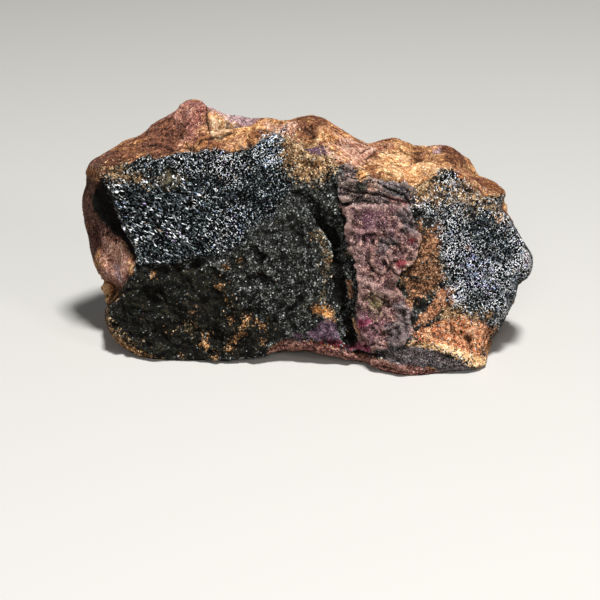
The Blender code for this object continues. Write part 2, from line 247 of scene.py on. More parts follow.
# Each mineral, and each painted highlight or shadow laid in as one: its zone, its colours in folds, in its
# body, in patches and in flecks, how far lumps of the stone carry its edge, how far its edge crumbles into
# the next, and how wholly it covers what is under it
MINERALS = [
    # wall: partly its own dark brown, partly painted shade
    ("wall", "#140A08", "#4A2E24", "#5E3A36", "#98705E", 1.5, 2.0, 1.0),
    ("pink", "#301614", "#98604E", "#74484A", "#F0BCA8", 1.2, 2.5, 0.85),
    ("umber", "#100704", "#5C3524", "#482B23", "#A87050", 2.0, 3.0, 0.9),
    ("rim", "#140809", "#603630", "#4A2426", "#E4ACA0", 0.4, 1.0, 0.9),
    ("front", "#020202", "#161717", "#201F1A", "#74766E", 0.3, 0.7, 1.0),
    ("lobe", "#020302", "#11110D", "#1A150D", "#44402F", 2.0, 2.0, 1.0),
    ("druse", "#010101", "#030404", "#06080A", "#14181A", 0.7, 0.8, 1.0),
    ("olive", "#0C0A06", "#3C3628", "#4C402C", "#968A6C", 1.0, 2.0, 0.9),
    ("stain", "#20140A", "#8A6440", "#644428", "#F0D4A8", 1.6, 7.0, 1.0),
    ("matrix", "#10080A", "#7A524E", "#4E303A", "#D0AC9E", 0.4, 0.4, 1.0),
    ("purple", "#1A1018", "#5E4654", "#463040", "#A08494", 1.0, 1.0, 1.0),
    ("yellowed", "#342E20", "#84744A", "#6C603E", "#C8B684", 1.5, 3.0, 0.75),
    ("mauve", "#200E16", "#784658", "#583248", "#BC94A2", 2.0, 3.0, 0.45),
    ("magenta", "#3A0818", "#9A2C54", "#7A2444", "#D07898", 0.4, 1.0, 0.8),
    ("greyed", "#100D0F", "#544C4E", "#3E383C", "#948A8A", 1.2, 2.0, 0.8),
    # A painted highlight on lit edges, in pinkish grey
    ("pale_edge", "#3E2C2C", "#947672", "#806260", "#D0B4AC", 0.8, 1.5, 0.5),
    ("ledges", "#040303", "#443A3E", "#2A2224", "#C4A89C", 0.8, 1.5, 1.0),
    ("spots", "#3A1C0C", "#A86830", "#804C28", "#FFD090", 0.5, 3.0, 0.85),
    ("wine", "#240C0C", "#7A3E3A", "#5C2C2E", "#C08878", 1.2, 2.5, 0.75),
    ("red", "#240408", "#680C1A", "#520814", "#983040", 0.6, 1.2, 0.85),
    ("rust", "#0C0502", "#64402A", "#46291A", "#DCA47C", 1.0, 2.5, 1.0),
    ("streak", "#2A1208", "#9C6042", "#7C4832", "#F0BE94", 0.6, 1.5, 1.0),
    ("ledge", "#34160C", "#CE7E50", "#A65834", "#FFD8AC", 0.7, 2.0, 1.0),
    ("cream", "#804A22", "#DCA468", "#BE7E48", "#FFEEC8", 1.2, 3.0, 0.9),
    ("golden", "#6A3816", "#D08C48", "#B87440", "#FFE0A8", 0.4, 2.0, 0.9),
    ("shelf", "#5E3A20", "#B88654", "#966C44", "#F8E2C2", 0.5, 1.0, 0.9),
    ("blush", "#6A3628", "#CA9276", "#B27C62", "#FFEAD8", 1.5, 3.0, 0.7),
    # Painted highlights in pale lavender
    ("lavender", "#543A3C", "#A68286", "#806064", "#F0D8DC", 0.5, 1.5, 0.85),
    # Partly cream rind, partly a painted highlight
    ("cream_edge", "#9A6230", "#E8BC80", "#D8A060", "#FFF6DC", 0.4, 1.2, 1.0),
    ("band", "#080708", "#363236", "#4A3E42", "#A49894", 0.4, 0.6, 1.0),
    ("gully", "#080807", "#282822", "#2A2620", "#6E6C60", 1.0, 0.9, 1.0),
    # Painted shadow: near-black colour in the groove by the left wall
    ("gap", "#010101", "#070707", "#0B0A09", "#20201C", 0.6, 0.6, 1.0),
]
ZONE_EDGE = 0.2  # half the width over which one mineral turns into the next
FIBROUS = ("wall", "pink", "wine", "umber", "rim", "cream", "golden", "shelf", "blush", "lavender")
STONY = ("matrix", "ledges", "ledge", "streak", "band", "rust", "purple")  # zones bare of the black crust
RUSTY_SPOTS = [  # place in the photograph, radius in millimetres
    ((204, 345), 0.6), ((195, 311), 0.4), ((228, 350), 0.4), ((207, 335), 0.3), ((153, 276), 0.3),
    ((231, 320), 0.3), ((219, 286), 0.1), ((226, 266), 0.3), ((226, 300), 0.1), ((240, 263), 0.2),
    ((363, 176), 1.2), ((318, 167), 0.7), ((499, 218), 0.4), ((466, 248), 0.4), ((262, 342), 0.4),
    ((180, 357), 0.4), ((215, 357), 0.4), ((345, 253), 0.2), ((330, 262), 0.3), ((488, 316), 0.5),
]
RUSTY_ZONES = (("spots", 0.75, -0.4, 0.5), ("olive", 0.22, -0.6, 0.6), ("rust", 0.4, -1.5, 0.6))
VEIN_WIDTH = 0.3
RUSTY_VEINS = [
    [(233, 342), (238, 336), (243, 328), (247, 320), (254, 322), (263, 328)],
    [(240, 333), (247, 336)], [(108, 332), (124, 347), (140, 354), (160, 360)],
]
# Relief, in millimetres
HOLLOWS = [  # place in the photograph, radius, depth
    ((152, 298), 2.4, 1.3), ((192, 262), 1.7, 1.0), ((172, 262), 1.8, 1.0), ((182, 286), 1.4, 0.7),
    ((212, 330), 1.6, 0.6), ((250, 312), 1.8, 0.6), ((226, 352), 1.4, 0.6), ((140, 322), 1.6, 0.6),
    ((276, 326), 1.3, 0.5), ((304, 246), 1.4, 0.5), ((146, 250), 1.3, 0.5), ((247, 205), 1.6, 0.5),
]
GULLY_LINE = [  # place in the photograph, half width, depth
    ((314, 204), 1.0, 0.3), ((325, 226), 0.8, 1.2), ((334, 246), 0.8, 2.0), ((339, 264), 0.8, 2.2),
    ((340, 286), 0.8, 2.2), ((342, 306), 0.8, 2.0), ((348, 326), 0.8, 1.6), ((356, 346), 0.8, 1.2),
]
CRACKS = [  # width, depth, lines
    (1.3, 1.3, [(99, 184), (107, 204), (115, 224), (126, 242), (131, 258)]),
    (0.3, 0.7, [(207, 104), (207, 119), (211, 136)]),
    (0.4, 0.5, [(199, 143), (212, 138), (225, 134), (247, 132), (268, 130), (282, 134)]),
    (0.2, 0.2, [(246, 144), (249, 137)]),
    (0.5, 0.8, [(325, 152), (328, 160), (329, 170), (326, 182)]),
    (0.3, 0.6, [(379, 242), (388, 243), (398, 244), (402, 254)]),
    (0.3, 0.5, [(388, 254), (390, 264), (393, 272), (400, 276)]),
    (0.3, 0.4, [(370, 252), (367, 260), (372, 268)]),
    (0.3, 0.3, [(372, 292), (378, 296), (388, 302)]),
    (0.3, 0.4, [(352, 338), (360, 343), (370, 346), (380, 342), (390, 347)]),
    (0.3, 0.5, [(444, 172), (445, 184), (443, 196)]),
    (0.3, 0.4, [(142, 146), (156, 143), (172, 146), (188, 143)]),
    (0.3, 0.4, [(176, 128), (182, 138), (192, 146)]),
    (0.3, 0.4, [(372, 148), (388, 152), (402, 150), (416, 157)]),
    (0.3, 0.4, [(452, 160), (466, 172), (480, 186), (496, 196)]),
    (0.3, 0.3, [(360, 152), (372, 149), (386, 148)]),
    (0.3, 0.3, [(366, 157), (376, 153), (390, 151)]),
    (0.4, 0.8, [(378, 184), (390, 190), (404, 195), (412, 204)]),
    (0.4, 0.6, [(340, 188), (356, 193), (376, 194), (396, 199), (410, 203)]),
    (0.4, 0.6, [(345, 176), (360, 180), (372, 178)]),
]
CRESTS = [  # width, height, lines
    (1.2, 0.6, [(200, 140), (224, 131), (247, 129), (268, 127)]),
    (0.9, 0.5, [(340, 152), (352, 149), (368, 152), (384, 151)]),
    (1.0, 0.4, [(88, 172), (108, 160), (136, 146), (156, 132)]),
    (0.6, 0.35, [(378, 233), (392, 229), (405, 225)]),
    (0.9, 0.4, [(356, 276), (370, 282), (384, 290), (391, 297)]),
]
SLAB = [(356, 216), (390, 220)]  # the smoother top of the matrix
PUSHES = [  # place in the photograph, radius, height: corners and notches of the outline
    ((194, 98), 2.6, 1.7), ((156, 122), 2.8, 1.0), ((313, 137), 2.2, 0.9), ((83, 208), 3.5, 0.8),
    ((105, 291), 2.3, -3.0), ((417, 151), 2.2, -1.8), ((474, 169), 2.6, -1.2), ((492, 346), 3.0, -1.4),
    ((507, 206), 1.6, -1.2), ((503, 193), 1.2, 0.6), ((519, 284), 1.6, -0.8), ((465, 378), 4.0, 1.6),
]
STROKES_LEFT = math.radians(52)  # which way the rind's fibres run, up from the level
STROKES_RIGHT = math.radians(-32)
BLADES = math.radians(-28)
FURROWS = math.radians(-55)
STROKE_LENGTH = 3  # times the width
TURNED_FROM, TURNED_TO = -2, 6  # where the strokes turn from the left way to the right way
STONE_PATTERNS = {  # size in millimetres, detail, roughness and warp; the last two run with the strokes
    "broad": (7.0, 3.0, 0.5, 0.0), "patchy": (2.4, 4.0, 0.6, 0.0), "ragged": (1.0, 5.0, 0.65, 0.0),
    "speck": (0.55, 3.0, 0.7, 0.0), "fleck": (0.36, 2.0, 0.7, 0.0),
    # The stone's grit is finer than a pixel and is drawn at about one, so that it shows
    "grit": (0.25, 2.0, 0.8, 0.0), "fibre": (0.62, 4.0, 0.62, 0.3), "hair": (0.22, 2.0, 0.8, 0.0),
}
# The pale that follows the hollow lightens crests: partly wear, partly a painted highlight
MOTTLE = (  # which of a mineral's colours, what it follows, from where to where, and how wholly it covers
    ("body", "strokes", 0.38, 0.52, 1.0), ("patch", "patchy", 0.48, 0.58, 1.0),
    ("pale", "strokes", 0.56, 0.70, 1.0), ("shade", "fleck", 0.46, 0.36, 0.8),
    ("pale", "speck", 0.58, 0.68, 0.7), ("shade", "grit", 0.47, 0.38, 0.75),
    ("pale", "grit", 0.55, 0.64, 0.55), ("shade", "tone", 0.0, -1.0, 1.0),
    ("pale", "hollow", -0.05, -0.4, 0.3), ("pale", "tone", 0.0, 1.0, 1.0),
)
LIGHTS = (  # name, size and place in metres, power in watts
    ("key_light", 0.12, (0.10, -0.26, 0.76), 11.5),
    ("front_light", 0.2, (-0.10, -0.86, 0.44), 2.2),
    ("side_light", 0.18, (0.62, -0.66, 0.42), 2.2),
)
LIT_PLACE = (0, 0, 0.02)

RANDOM = np.random.default_rng(20)


def unit(vectors):
    """Vectors of length one."""
    return vectors / np.maximum(np.linalg.norm(vectors, axis=-1, keepdims=True), 1e-9)


def step_up(values, low, high):
    """From 0 at low to 1 at high, with no corners."""
    share = np.clip((values - low) / (high - low), 0, 1)
    return share * share * (3 - 2 * share)


def seen_at(places):
    """Where the eye sees these places, in the photograph's pixels."""
    away = places - EYE
    flat = away * (EYE_DISTANCE / (away @ LOOK))[:, None] + EYE - AIM
    return np.stack([flat[:, 0], -(flat @ UP)], 1) / PIXEL + PICTURE_MIDDLE


def from_line(seen, line, closed=False):
    """How far each seen place is from a line of pixels, in millimetres."""
    points = np.array(line, float)
    ends = np.roll(points, -1, 0) if closed else points[1:]
    nearest = np.full(len(seen), 1e9)
    for start, end in zip(points, ends):
        along = end - start
        share = np.clip((seen - start) @ along / max(along @ along, 1e-9), 0, 1)
        nearest = np.minimum(nearest, ((seen - start - share[:, None] * along) ** 2).sum(1))
    return np.sqrt(nearest) * PIXEL


def inside(seen, outline):
    """How deep each seen place is inside an outline, in millimetres, and below zero outside it."""
    points = np.array(outline, float)
    x, y = seen.T
    within = np.zeros(len(seen), bool)
    for (x0, y0), (x1, y1) in zip(points, np.roll(points, -1, 0)):
        crosses = (y0 > y) != (y1 > y)
        within ^= crosses & (x < (x1 - x0) * (y - y0) / (y1 - y0 + 1e-12) + x0)
    return from_line(seen, outline, closed=True) * np.where(within, 1, -1)


HASH = np.random.default_rng(7).random(4096) * 2 - 1


def lattice(cell, seed):
    """A fixed random number from -1 to 1 for each whole-numbered cell."""
    x, y, z = cell[..., 0], cell[..., 1], cell[..., 2]
    return HASH[(x * 73856093 ^ y * 19349663 ^ z * 83492791 ^ seed * 2654435761) & 4095]


def lumps(places, size, seed, layers=1):
    """Smooth noise from about -1 to 1 in lumps of this size. A further layer is half as big and high."""
    total = np.zeros(len(places))
    for layer in range(layers):
        spot = places / size * 2**layer + 0.37 * seed
        cell = np.floor(spot).astype(np.int64)
        share = spot - cell
        share = share * share * (3 - 2 * share)
        for corner in np.ndindex(2, 2, 2):
            weight = np.prod(np.where(corner, share, 1 - share), axis=1)
            total += weight * lattice(cell + corner, seed + 31 * layer) / 2**layer
    return total


def facets(places, size, seed, slope, step, sharp=9.0):
    """Height of a surface broken into faces about this size, each with its own slope and level."""
    spot = places / size
    home = np.floor(spot).astype(np.int64)
    total = np.zeros(len(places))
    weights = np.full(len(places), 1e-12)
    for offset in np.ndindex(3, 3, 3):
        cell = home + np.array(offset) - 1
        random = np.stack([lattice(cell, seed + k) for k in range(3)], 1)
        away = spot - cell - 0.5 - 0.5 * random
        tilt = np.stack([lattice(cell, seed + k) for k in range(3, 6)], 1)
        level = (away * tilt).sum(1) * size * slope + step * lattice(cell, seed + 6)
        weight = np.exp(-sharp * (away**2).sum(1))
        total += weight * level
        weights += weight
    return total / weights


def stretched(places, angle, share):
    """Places squeezed to this share along a direction this far up from the level."""
    x, y, z = places.T
    along = x * math.cos(angle) + z * math.sin(angle)
    across = z * math.cos(angle) - x * math.sin(angle)
    return np.stack([along * share, y, across], 1)


def select_only(piece):
    """Makes one piece the only selected and the active one."""
    bpy.ops.object.select_all(action="DESELECT")
    piece.select_set(True)
    bpy.context.view_layer.objects.active = piece


def apply_modifier(piece, kind, **settings):
    """Adds a modifier with these settings and applies it."""
    modifier = piece.modifiers.new(kind.lower(), kind)
    for name, value in settings.items():
        setattr(modifier, name, value)
    select_only(piece)
    bpy.ops.object.modifier_apply(modifier=modifier.name)


def places_of(mesh):
    """Each vertex's place in millimetres."""
    found = np.empty(len(mesh.vertices) * 3, np.float32)
    mesh.vertices.foreach_get("co", found)
    return found.reshape(-1, 3).astype(float) / MM


def put_places(mesh, places):
    """Moves each vertex to its new place, given in millimetres."""
    mesh.vertices.foreach_set("co", (places * MM).astype(np.float32).ravel())
    mesh.update()


def normals_of(mesh):
    """Each vertex's outward direction."""
    found = np.empty(len(mesh.vertices) * 3, np.float32)
    mesh.vertex_normals.foreach_get("vector", found)
    return found.reshape(-1, 3).astype(float)


def edges_of(mesh):
    """The two vertices at the ends of each edge."""
    found = np.empty(len(mesh.edges) * 2, np.int32)
    mesh.edges.foreach_get("vertices", found)
    return found.reshape(-1, 2)


def blurred(values, edges, times):
    """Values on vertices, averaged with their neighbours' this many times."""
    a, b = edges.T
    count = np.bincount(edges.ravel(), minlength=len(values))[:, None] + 1.0
    table = values.reshape(len(values), -1)
    for _ in range(times):
        columns = [
            np.bincount(a, table[b, k], len(values)) + np.bincount(b, table[a, k], len(values))
            for k in range(table.shape[1])
        ]
        table = (table + np.stack(columns, 1)) / count
    return table.reshape(values.shape)


def behind_first(tree, places):
    """How far each place lies behind the first surface that the eye meets in its direction."""
    eye = Vector(EYE)
    depth = np.zeros(len(places))
    for i, place in enumerate(places):
        way = Vector(place) - eye
        hit = tree.ray_cast(eye, way.normalized())
        if hit[0] is not None:
            depth[i] = way.length - hit[3]
    return depth


def rock_blank():
    """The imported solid's surface as an even grid with no facets, halved on the side that the eye sees."""
    rock = bpy.data.objects.new("iron_stained_rock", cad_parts[NODE].data.copy())
    bpy.context.scene.collection.objects.link(rock)
    rock.data.materials.clear()
    select_only(rock)
    bpy.ops.object.mode_set(mode="EDIT")
    bpy.ops.mesh.select_all(action="SELECT")
    bpy.ops.mesh.remove_doubles(threshold=WELD * MM)
    bpy.ops.object.mode_set(mode="OBJECT")
    apply_modifier(rock, "REMESH", mode="VOXEL", voxel_size=GRID * MM, use_smooth_shade=True)
    mesh = rock.data
    places, edges = places_of(mesh), edges_of(mesh)
    for _ in range(GRID_SMOOTHING):
        places = blurred(places, edges, 2)
        places += RESHARPENING * (places - blurred(places, edges, 1))
    put_places(mesh, places)
    facing = unit(blurred(normals_of(mesh), edges_of(mesh), 4)) @ -LOOK
    seen_side = facing > HALVED_FACING
    faces = np.array([seen_side[list(face.vertices)].all() for face in mesh.polygons])
    bpy.ops.object.mode_set(mode="EDIT")
    bpy.ops.mesh.select_mode(type="FACE")
    bpy.ops.mesh.select_all(action="DESELECT")
    bpy.ops.object.mode_set(mode="OBJECT")
    mesh.polygons.foreach_set("select", faces)
    bpy.ops.object.mode_set(mode="EDIT")
    bpy.ops.mesh.subdivide(number_cuts=1, smoothness=0.6)
    bpy.ops.mesh.quads_convert_to_tris(quad_method="SHORTEST_DIAGONAL")
    bpy.ops.object.mode_set(mode="OBJECT")
    return rock


class Zones:
    """Where each mineral lies on the stone, as each vertex's depth inside its outline in millimetres."""

    def __init__(self, mesh):
        self.places = places_of(mesh)
        self.edges = edges_of(mesh)
        self.normals = unit(blurred(normals_of(mesh), self.edges, NORMAL_SMOOTHING))
        facing = -(unit(self.places - EYE) * self.normals).sum(1)
        self.seen = seen_at(self.places)
        faces = [tuple(face.vertices) for face in mesh.polygons]
        tree = BVHTree.FromPolygons([Vector(p) for p in self.places], faces)
        depth = np.full(len(self.places), OUT_OF_SIGHT)
        near = facing > -0.3
        depth[near] = behind_first(tree, self.places[near])
        self.shown = np.minimum((facing - FRONT_FACING) * 12, FRONT_DEPTH - depth)
        self.base = step_up(self.places[:, 2], 0.25, 1.6)
        self.skyline = 1 - 0.75 * (1 - step_up(np.abs(facing), 0.08, 0.45))
        fray = 0.8 * lumps(self.places, 3.5, 81, 2) + 0.5 * lumps(self.places, 1.0, 82, 2)
        self.wander = np.stack([fray, 0.8 * lumps(self.places, 3.0, 83, 2)], 1)
        self.depth = {}
        depths = {name: [inside(self.seen, outline) for outline in OUTLINES[name]] for name in OUTLINES}
        depths["spots"] = [radius - from_line(self.seen, (place, place)) for place, radius in RUSTY_SPOTS]
        depths["spots"] += [VEIN_WIDTH - from_line(self.seen, vein) for vein in RUSTY_VEINS]
        carried = {mineral[0]: mineral[-3] for mineral in MINERALS}
        for name, found in depths.items():
            self.depth[name] = np.minimum(np.max(found, axis=0) + carried[name] * fray, self.shown)

    def near(self, line, width, wander=0.0):
        """1 on a line of pixels, falling to 0 at this width in millimetres, on the side the eye sees."""
        seen = self.seen + wander / PIXEL * self.wander
        return (1 - step_up(from_line(seen, line), 0, width)) * step_up(self.shown, 0, 1)


def channel(zones):
    """Depth of the gully, whose width and depth change along its line."""
    seen = zones.seen + 4 * zones.wander
    depth = np.zeros(len(seen))
    for (start, width_a, deep_a), (end, width_b, deep_b) in zip(GULLY_LINE, GULLY_LINE[1:]):
        along = np.subtract(end, start)
        share = np.clip((seen - start) @ along / (along @ along), 0, 1)
        away = np.linalg.norm(seen - start - share[:, None] * along, axis=1) * PIXEL
        width = width_a + (width_b - width_a) * share
        deep = deep_a + (deep_b - deep_a) * share
        depth = np.maximum(depth, deep * (1 - step_up(away / width, 0.5, 1.5)))
    return depth * step_up(zones.shown, -1, 1)


def ridges(places, size, seed, layers):
    """Height from 0 to 1 of crests about this far apart. A further layer is half as big and high."""
    total = np.zeros(len(places))
    for layer in range(layers):
        total += (1 - np.abs(lumps(places, size / 2**layer, seed + layer))) ** 2 / 2**layer
    return total / 2


def folds(places, angle):
    """Height of the rind's folds and fibres, which run one way."""
    drift = np.stack([lumps(places, 8.0, k) for k in (11, 12, 13)], 1)
    long = stretched(places + 1.5 * drift, angle, 0.4)
    return 1.9 * (ridges(long, 6.0, 5, 3) - 0.6) + 0.2 * lumps(stretched(places, angle, 0.4), 0.9, 7, 2)


def relief(zones):
    """Each vertex's height above the smooth stone."""
    p = zones.places
    share = {name: step_up(depth, -0.4, 0.6) for name, depth in zones.depth.items()}
    matrix = step_up(zones.depth["matrix"], -0.15, 0.3)
    lobe = step_up(zones.depth["lobe"], -1.0, 1.5)
    rightward = step_up(p[:, 0], TURNED_FROM, TURNED_TO)
    drift = np.stack([lumps(p, 3.0, k, 2) for k in (11, 12, 13)], 1)
    rind = facets(p + 0.3 * drift, 6.5, 3, 0.3, 0.1, 8)
    rind += folds(p, STROKES_LEFT) * (1 - rightward) + folds(p, STROKES_RIGHT) * rightward
    furrows = ridges(stretched(p + 0.8 * drift, FURROWS, 0.45), 3.2, 27, 2) - 0.5
    crust = facets(p + 0.4 * drift, 4.0, 101, 0.35, 0.12, 10) + 0.9 * furrows + 0.3 * lumps(p, 0.9, 22, 2)
    rough = facets(p + 0.5 * drift, 3.0, 111, 0.35, 0.12) + 0.2 * lumps(p, 0.9, 24, 2)
    lumpy = 0.7 * lumps(p, 4.8, 25) + 0.9 * (ridges(p + 0.5 * drift, 3.4, 26, 2) - 0.5)
    broken = 0.65 * facets(p + 0.8 * drift, 3.8, 41, 0.4, 0.12, 22) + 0.3 * lumps(p, 0.8, 43, 2)
    broken += 0.8 * facets(stretched(p + 0.5 * drift, FURROWS, 0.5), 1.6, 51, 0.5, 0.06, 22)
    broken *= 1 - 0.6 * zones.near(SLAB, 4.0)
    layered = facets(p * (0.6, 1.0, 1.3) + 1.2 * drift, 3.0, 61, 0.5, 0.35, 16)
    layered += 0.4 * lumps(p, 1.0, 62, 2)
    height = rind * (1 - share["front"]) + share["front"] * (
        crust * (1 - share["druse"]) + rough * share["druse"] + lobe * lumpy * (1 - share["band"])
    )
    height = height * (1 - matrix) + matrix * (broken + 0.7)
    height = height * (1 - share["ledges"]) + share["ledges"] * (layered + 0.3)
    height = height * (1 - 0.8 * share["band"]) + share["band"] * 0.25 * lumps(p, 1.8, 71, 2)
    for spot, radius, depth in HOLLOWS:
        distance = np.linalg.norm((zones.seen - spot) * PIXEL + 0.8 * zones.wander, axis=1)
        height -= depth * np.exp(-((distance / radius) ** 2)) * step_up(zones.shown, 0, 1)
    height -= channel(zones) * (1 - matrix)
    height *= zones.skyline
    for spot, radius, push in PUSHES:
        distance = np.linalg.norm((zones.seen - spot) * PIXEL, axis=1)
        height += push * np.exp(-((distance / radius) ** 2)) * step_up(zones.shown, -8, -2)
    for width, depth, line in CRACKS:
        height -= depth * zones.near(line, width, 0.25)
    for width, depth, line in CRESTS:
        height += depth * zones.near(line, width, 0.2)
    return height * zones.base


def shape_rock(rock):
    """Gives the stone its relief and stores its zones for the finishes."""
    mesh = rock.data
    zones = Zones(mesh)
    height = relief(zones)
    places = zones.places + zones.normals * height[:, None]
    low, high = np.array(cad_low) / MM, np.array(cad_high) / MM
    places[:, 2] = np.where(zones.places[:, 2] < 0.3, np.minimum(zones.places[:, 2], 0.05), places[:, 2])
    places = np.clip(places, low - MOST_PROUD, high + MOST_PROUD)
    places[:, 2] = np.maximum(places[:, 2], 0)
    put_places(mesh, places)
    zones.depth["hidden"] = -zones.shown
    zones.depth["hollow"] = blurred(height, zones.edges, 10) - height
    zones.depth["crack"] = np.max([zones.near(line, width, 0.25) for width, _, line in CRACKS], axis=0)
    store(mesh, zones.depth)
    lay_in_charts(mesh, zones)
    return zones


def store(mesh, values):
    """Keeps these numbers on the mesh's vertices for its finish."""
    for name, numbers in values.items():
        layer = mesh.attributes.new(name, "FLOAT", "POINT")
        layer.data.foreach_set("value", np.clip(numbers, -6, 6).astype(np.float32))


def lay_in_charts(mesh, zones):
    """Lays the stone's map out as its six flat views. The front fills half of it."""
    corners = np.empty(len(mesh.loops), np.int32)
    mesh.loops.foreach_get("vertex_index", corners)
    starts, sides = np.empty((2, len(mesh.polygons)), np.int32)
    mesh.polygons.foreach_get("loop_start", starts)
    mesh.polygons.foreach_get("loop_total", sides)
    facing = np.add.reduceat(zones.normals[corners], starts).repeat(sides, 0)
    axis = np.abs(facing).argmax(1)
    positive = np.take_along_axis(facing, axis[:, None], 1)[:, 0] > 0
    places = places_of(mesh)
    share = ((places - places.min(0)) / np.ptp(places, axis=0))[corners]
    spots = np.zeros((len(corners), 2))
    for view, (corner, size) in VIEWS.items():
        chosen = (axis == view[0]) & (positive == view[1])
        flat = np.delete(share[chosen], view[0], axis=1)
        spots[chosen] = np.add(corner, VIEW_MARGIN) + flat * np.subtract(size, 2 * VIEW_MARGIN)
    layer = mesh.uv_layers.new(name="OFBake")
    layer.data.foreach_set("uv", spots.astype(np.float32).ravel())


def crystal_shape(name, length, width):
    """One small crystal: a block whose top draws in to this length and width, standing on z = 0."""
    bpy.ops.object.select_all(action="DESELECT")
    bpy.ops.mesh.primitive_cube_add(size=1, location=(0, 0, 0.5))
    crystal = bpy.context.object
    crystal.name = name
    for face in crystal.data.polygons:
        face.select = face.normal.z > 0.9
    bpy.ops.object.mode_set(mode="EDIT")
    bpy.ops.mesh.select_mode(type="FACE")
    bpy.ops.transform.resize(value=(length, width, 1))
    bpy.ops.mesh.select_all(action="SELECT")
    bpy.ops.mesh.quads_convert_to_tris()
    bpy.ops.object.mode_set(mode="OBJECT")
    shape = np.array([v.co for v in crystal.data.vertices])
    faces = np.array([face.vertices for face in crystal.data.polygons])
    bpy.data.objects.remove(crystal)
    return shape, faces


def scattered(rock, zones, density):
    """Random places on the stone, so many a square millimetre, with the direction and zone depths there."""
    mesh = rock.data
    mesh.calc_loop_triangles()
    corners = np.empty(len(mesh.loop_triangles) * 3, np.int32)
    mesh.loop_triangles.foreach_get("vertices", corners)
    corners = corners.reshape(-1, 3)
    places, normals = places_of(mesh), unit(blurred(normals_of(mesh), edges_of(mesh), 2))
    density = density * step_up(places[:, 2], *GRAIN_FOOT)
    a, b, c = places[corners].transpose(1, 0, 2)
    share = np.linalg.norm(np.cross(b - a, c - a), axis=1) / 2 * density[corners].mean(1)
    number = min(int(share.sum()), MOST_GRAINS)
    chosen = corners[RANDOM.choice(len(corners), number, p=share / share.sum())]
    mix = RANDOM.dirichlet((1, 1, 1), number)
    at = (places[chosen] * mix[:, :, None]).sum(1)
    out = unit((normals[chosen] * mix[:, :, None]).sum(1))
    depth = {name: (values[chosen] * mix).sum(1) for name, values in zones.depth.items()}
    return at, out, depth


def laid(out, way, lean, wobble):
    """Axes of grains whose long side follows a way along the surface, give or take these angles."""
    number = len(out)
    along = unit(way - (way * out).sum(1, keepdims=True) * out)
    turn = RANDOM.normal(0, wobble, number)[:, None]
    along = along * np.cos(turn) + np.cross(out, along) * np.sin(turn)
    tilt = np.abs(RANDOM.normal(0, lean, number)).clip(0, 1.2)[:, None]
    side = unit(np.cross(out, RANDOM.normal(size=out.shape)))
    axis = out * np.cos(tilt) + side * np.sin(tilt)
    along = unit(along - (along * axis).sum(1, keepdims=True) * axis)
    return np.stack([along, np.cross(axis, along), axis], 2)


def any_way(number):
    """Ways that follow no rule, for this many grains."""
    return RANDOM.normal(size=(number, 3))


def one_way(angle, number):
    """The way that is seen this far up from the level."""
    return np.tile((math.cos(angle), 0, math.sin(angle)), (number, 1))


def grown(name, shape, at, axes, size, sunk, tones):
    """One piece of many crystals of one shape. tones holds each crystal's numbers for its finish."""
    verts, faces = shape
    number = len(at)
    size = RANDOM.lognormal(0, 0.3, (number, 3)) * size
    scaled = verts[None] * size[:, None, :]
    scaled[:, :, 2] -= (size[:, 2] * sunk)[:, None]
    places = np.einsum("nij,nvj->nvi", axes, scaled) + at[:, None]
    mesh = bpy.data.meshes.new(name)
    index = faces[None] + (np.arange(number) * len(verts))[:, None, None]
    mesh.vertices.add(number * len(verts))
    mesh.loops.add(index.size)
    mesh.polygons.add(number * len(faces))
    mesh.vertices.foreach_set("co", (places * MM).astype(np.float32).ravel())
    mesh.loops.foreach_set("vertex_index", index.astype(np.int32).ravel())
    mesh.polygons.foreach_set("loop_start", np.arange(0, index.size, 3, dtype=np.int32))
    mesh.update(calc_edges=True)
    mesh.validate()
    store(mesh, {label: np.repeat(values, len(verts)) for label, values in tones.items()})
    lay_in_cells(mesh, number, len(faces))
    piece = bpy.data.objects.new(name, mesh)
    bpy.context.scene.collection.objects.link(piece)
    return piece


def lay_in_cells(mesh, number, sides):
    """Gives each grain its own small cell of the piece's map, with all its sides laid over one another."""
    across = math.ceil(math.sqrt(number))
    cell = np.stack(np.divmod(np.arange(number), across), 1)
    corner = np.array(((0.25, 0.25), (0.75, 0.25), (0.5, 0.75)))
    spots = (cell[:, None, None] + corner[None, None]).repeat(sides, 1) / across
    layer = mesh.uv_layers.new(name="OFBake")
    layer.data.foreach_set("uv", spots.astype(np.float32).ravel())


def shades(number, dark, bright):
    """Brightness of grains: these shares of them are nearly black and bright, and the rest middling."""
    classes = RANDOM.random(number)
    random = RANDOM.random(number)
    tone = np.where(classes < dark, 0.12 * random, 0.15 + 0.4 * random)
    return np.where(classes > 1 - bright, 0.6 + 0.4 * random, tone)


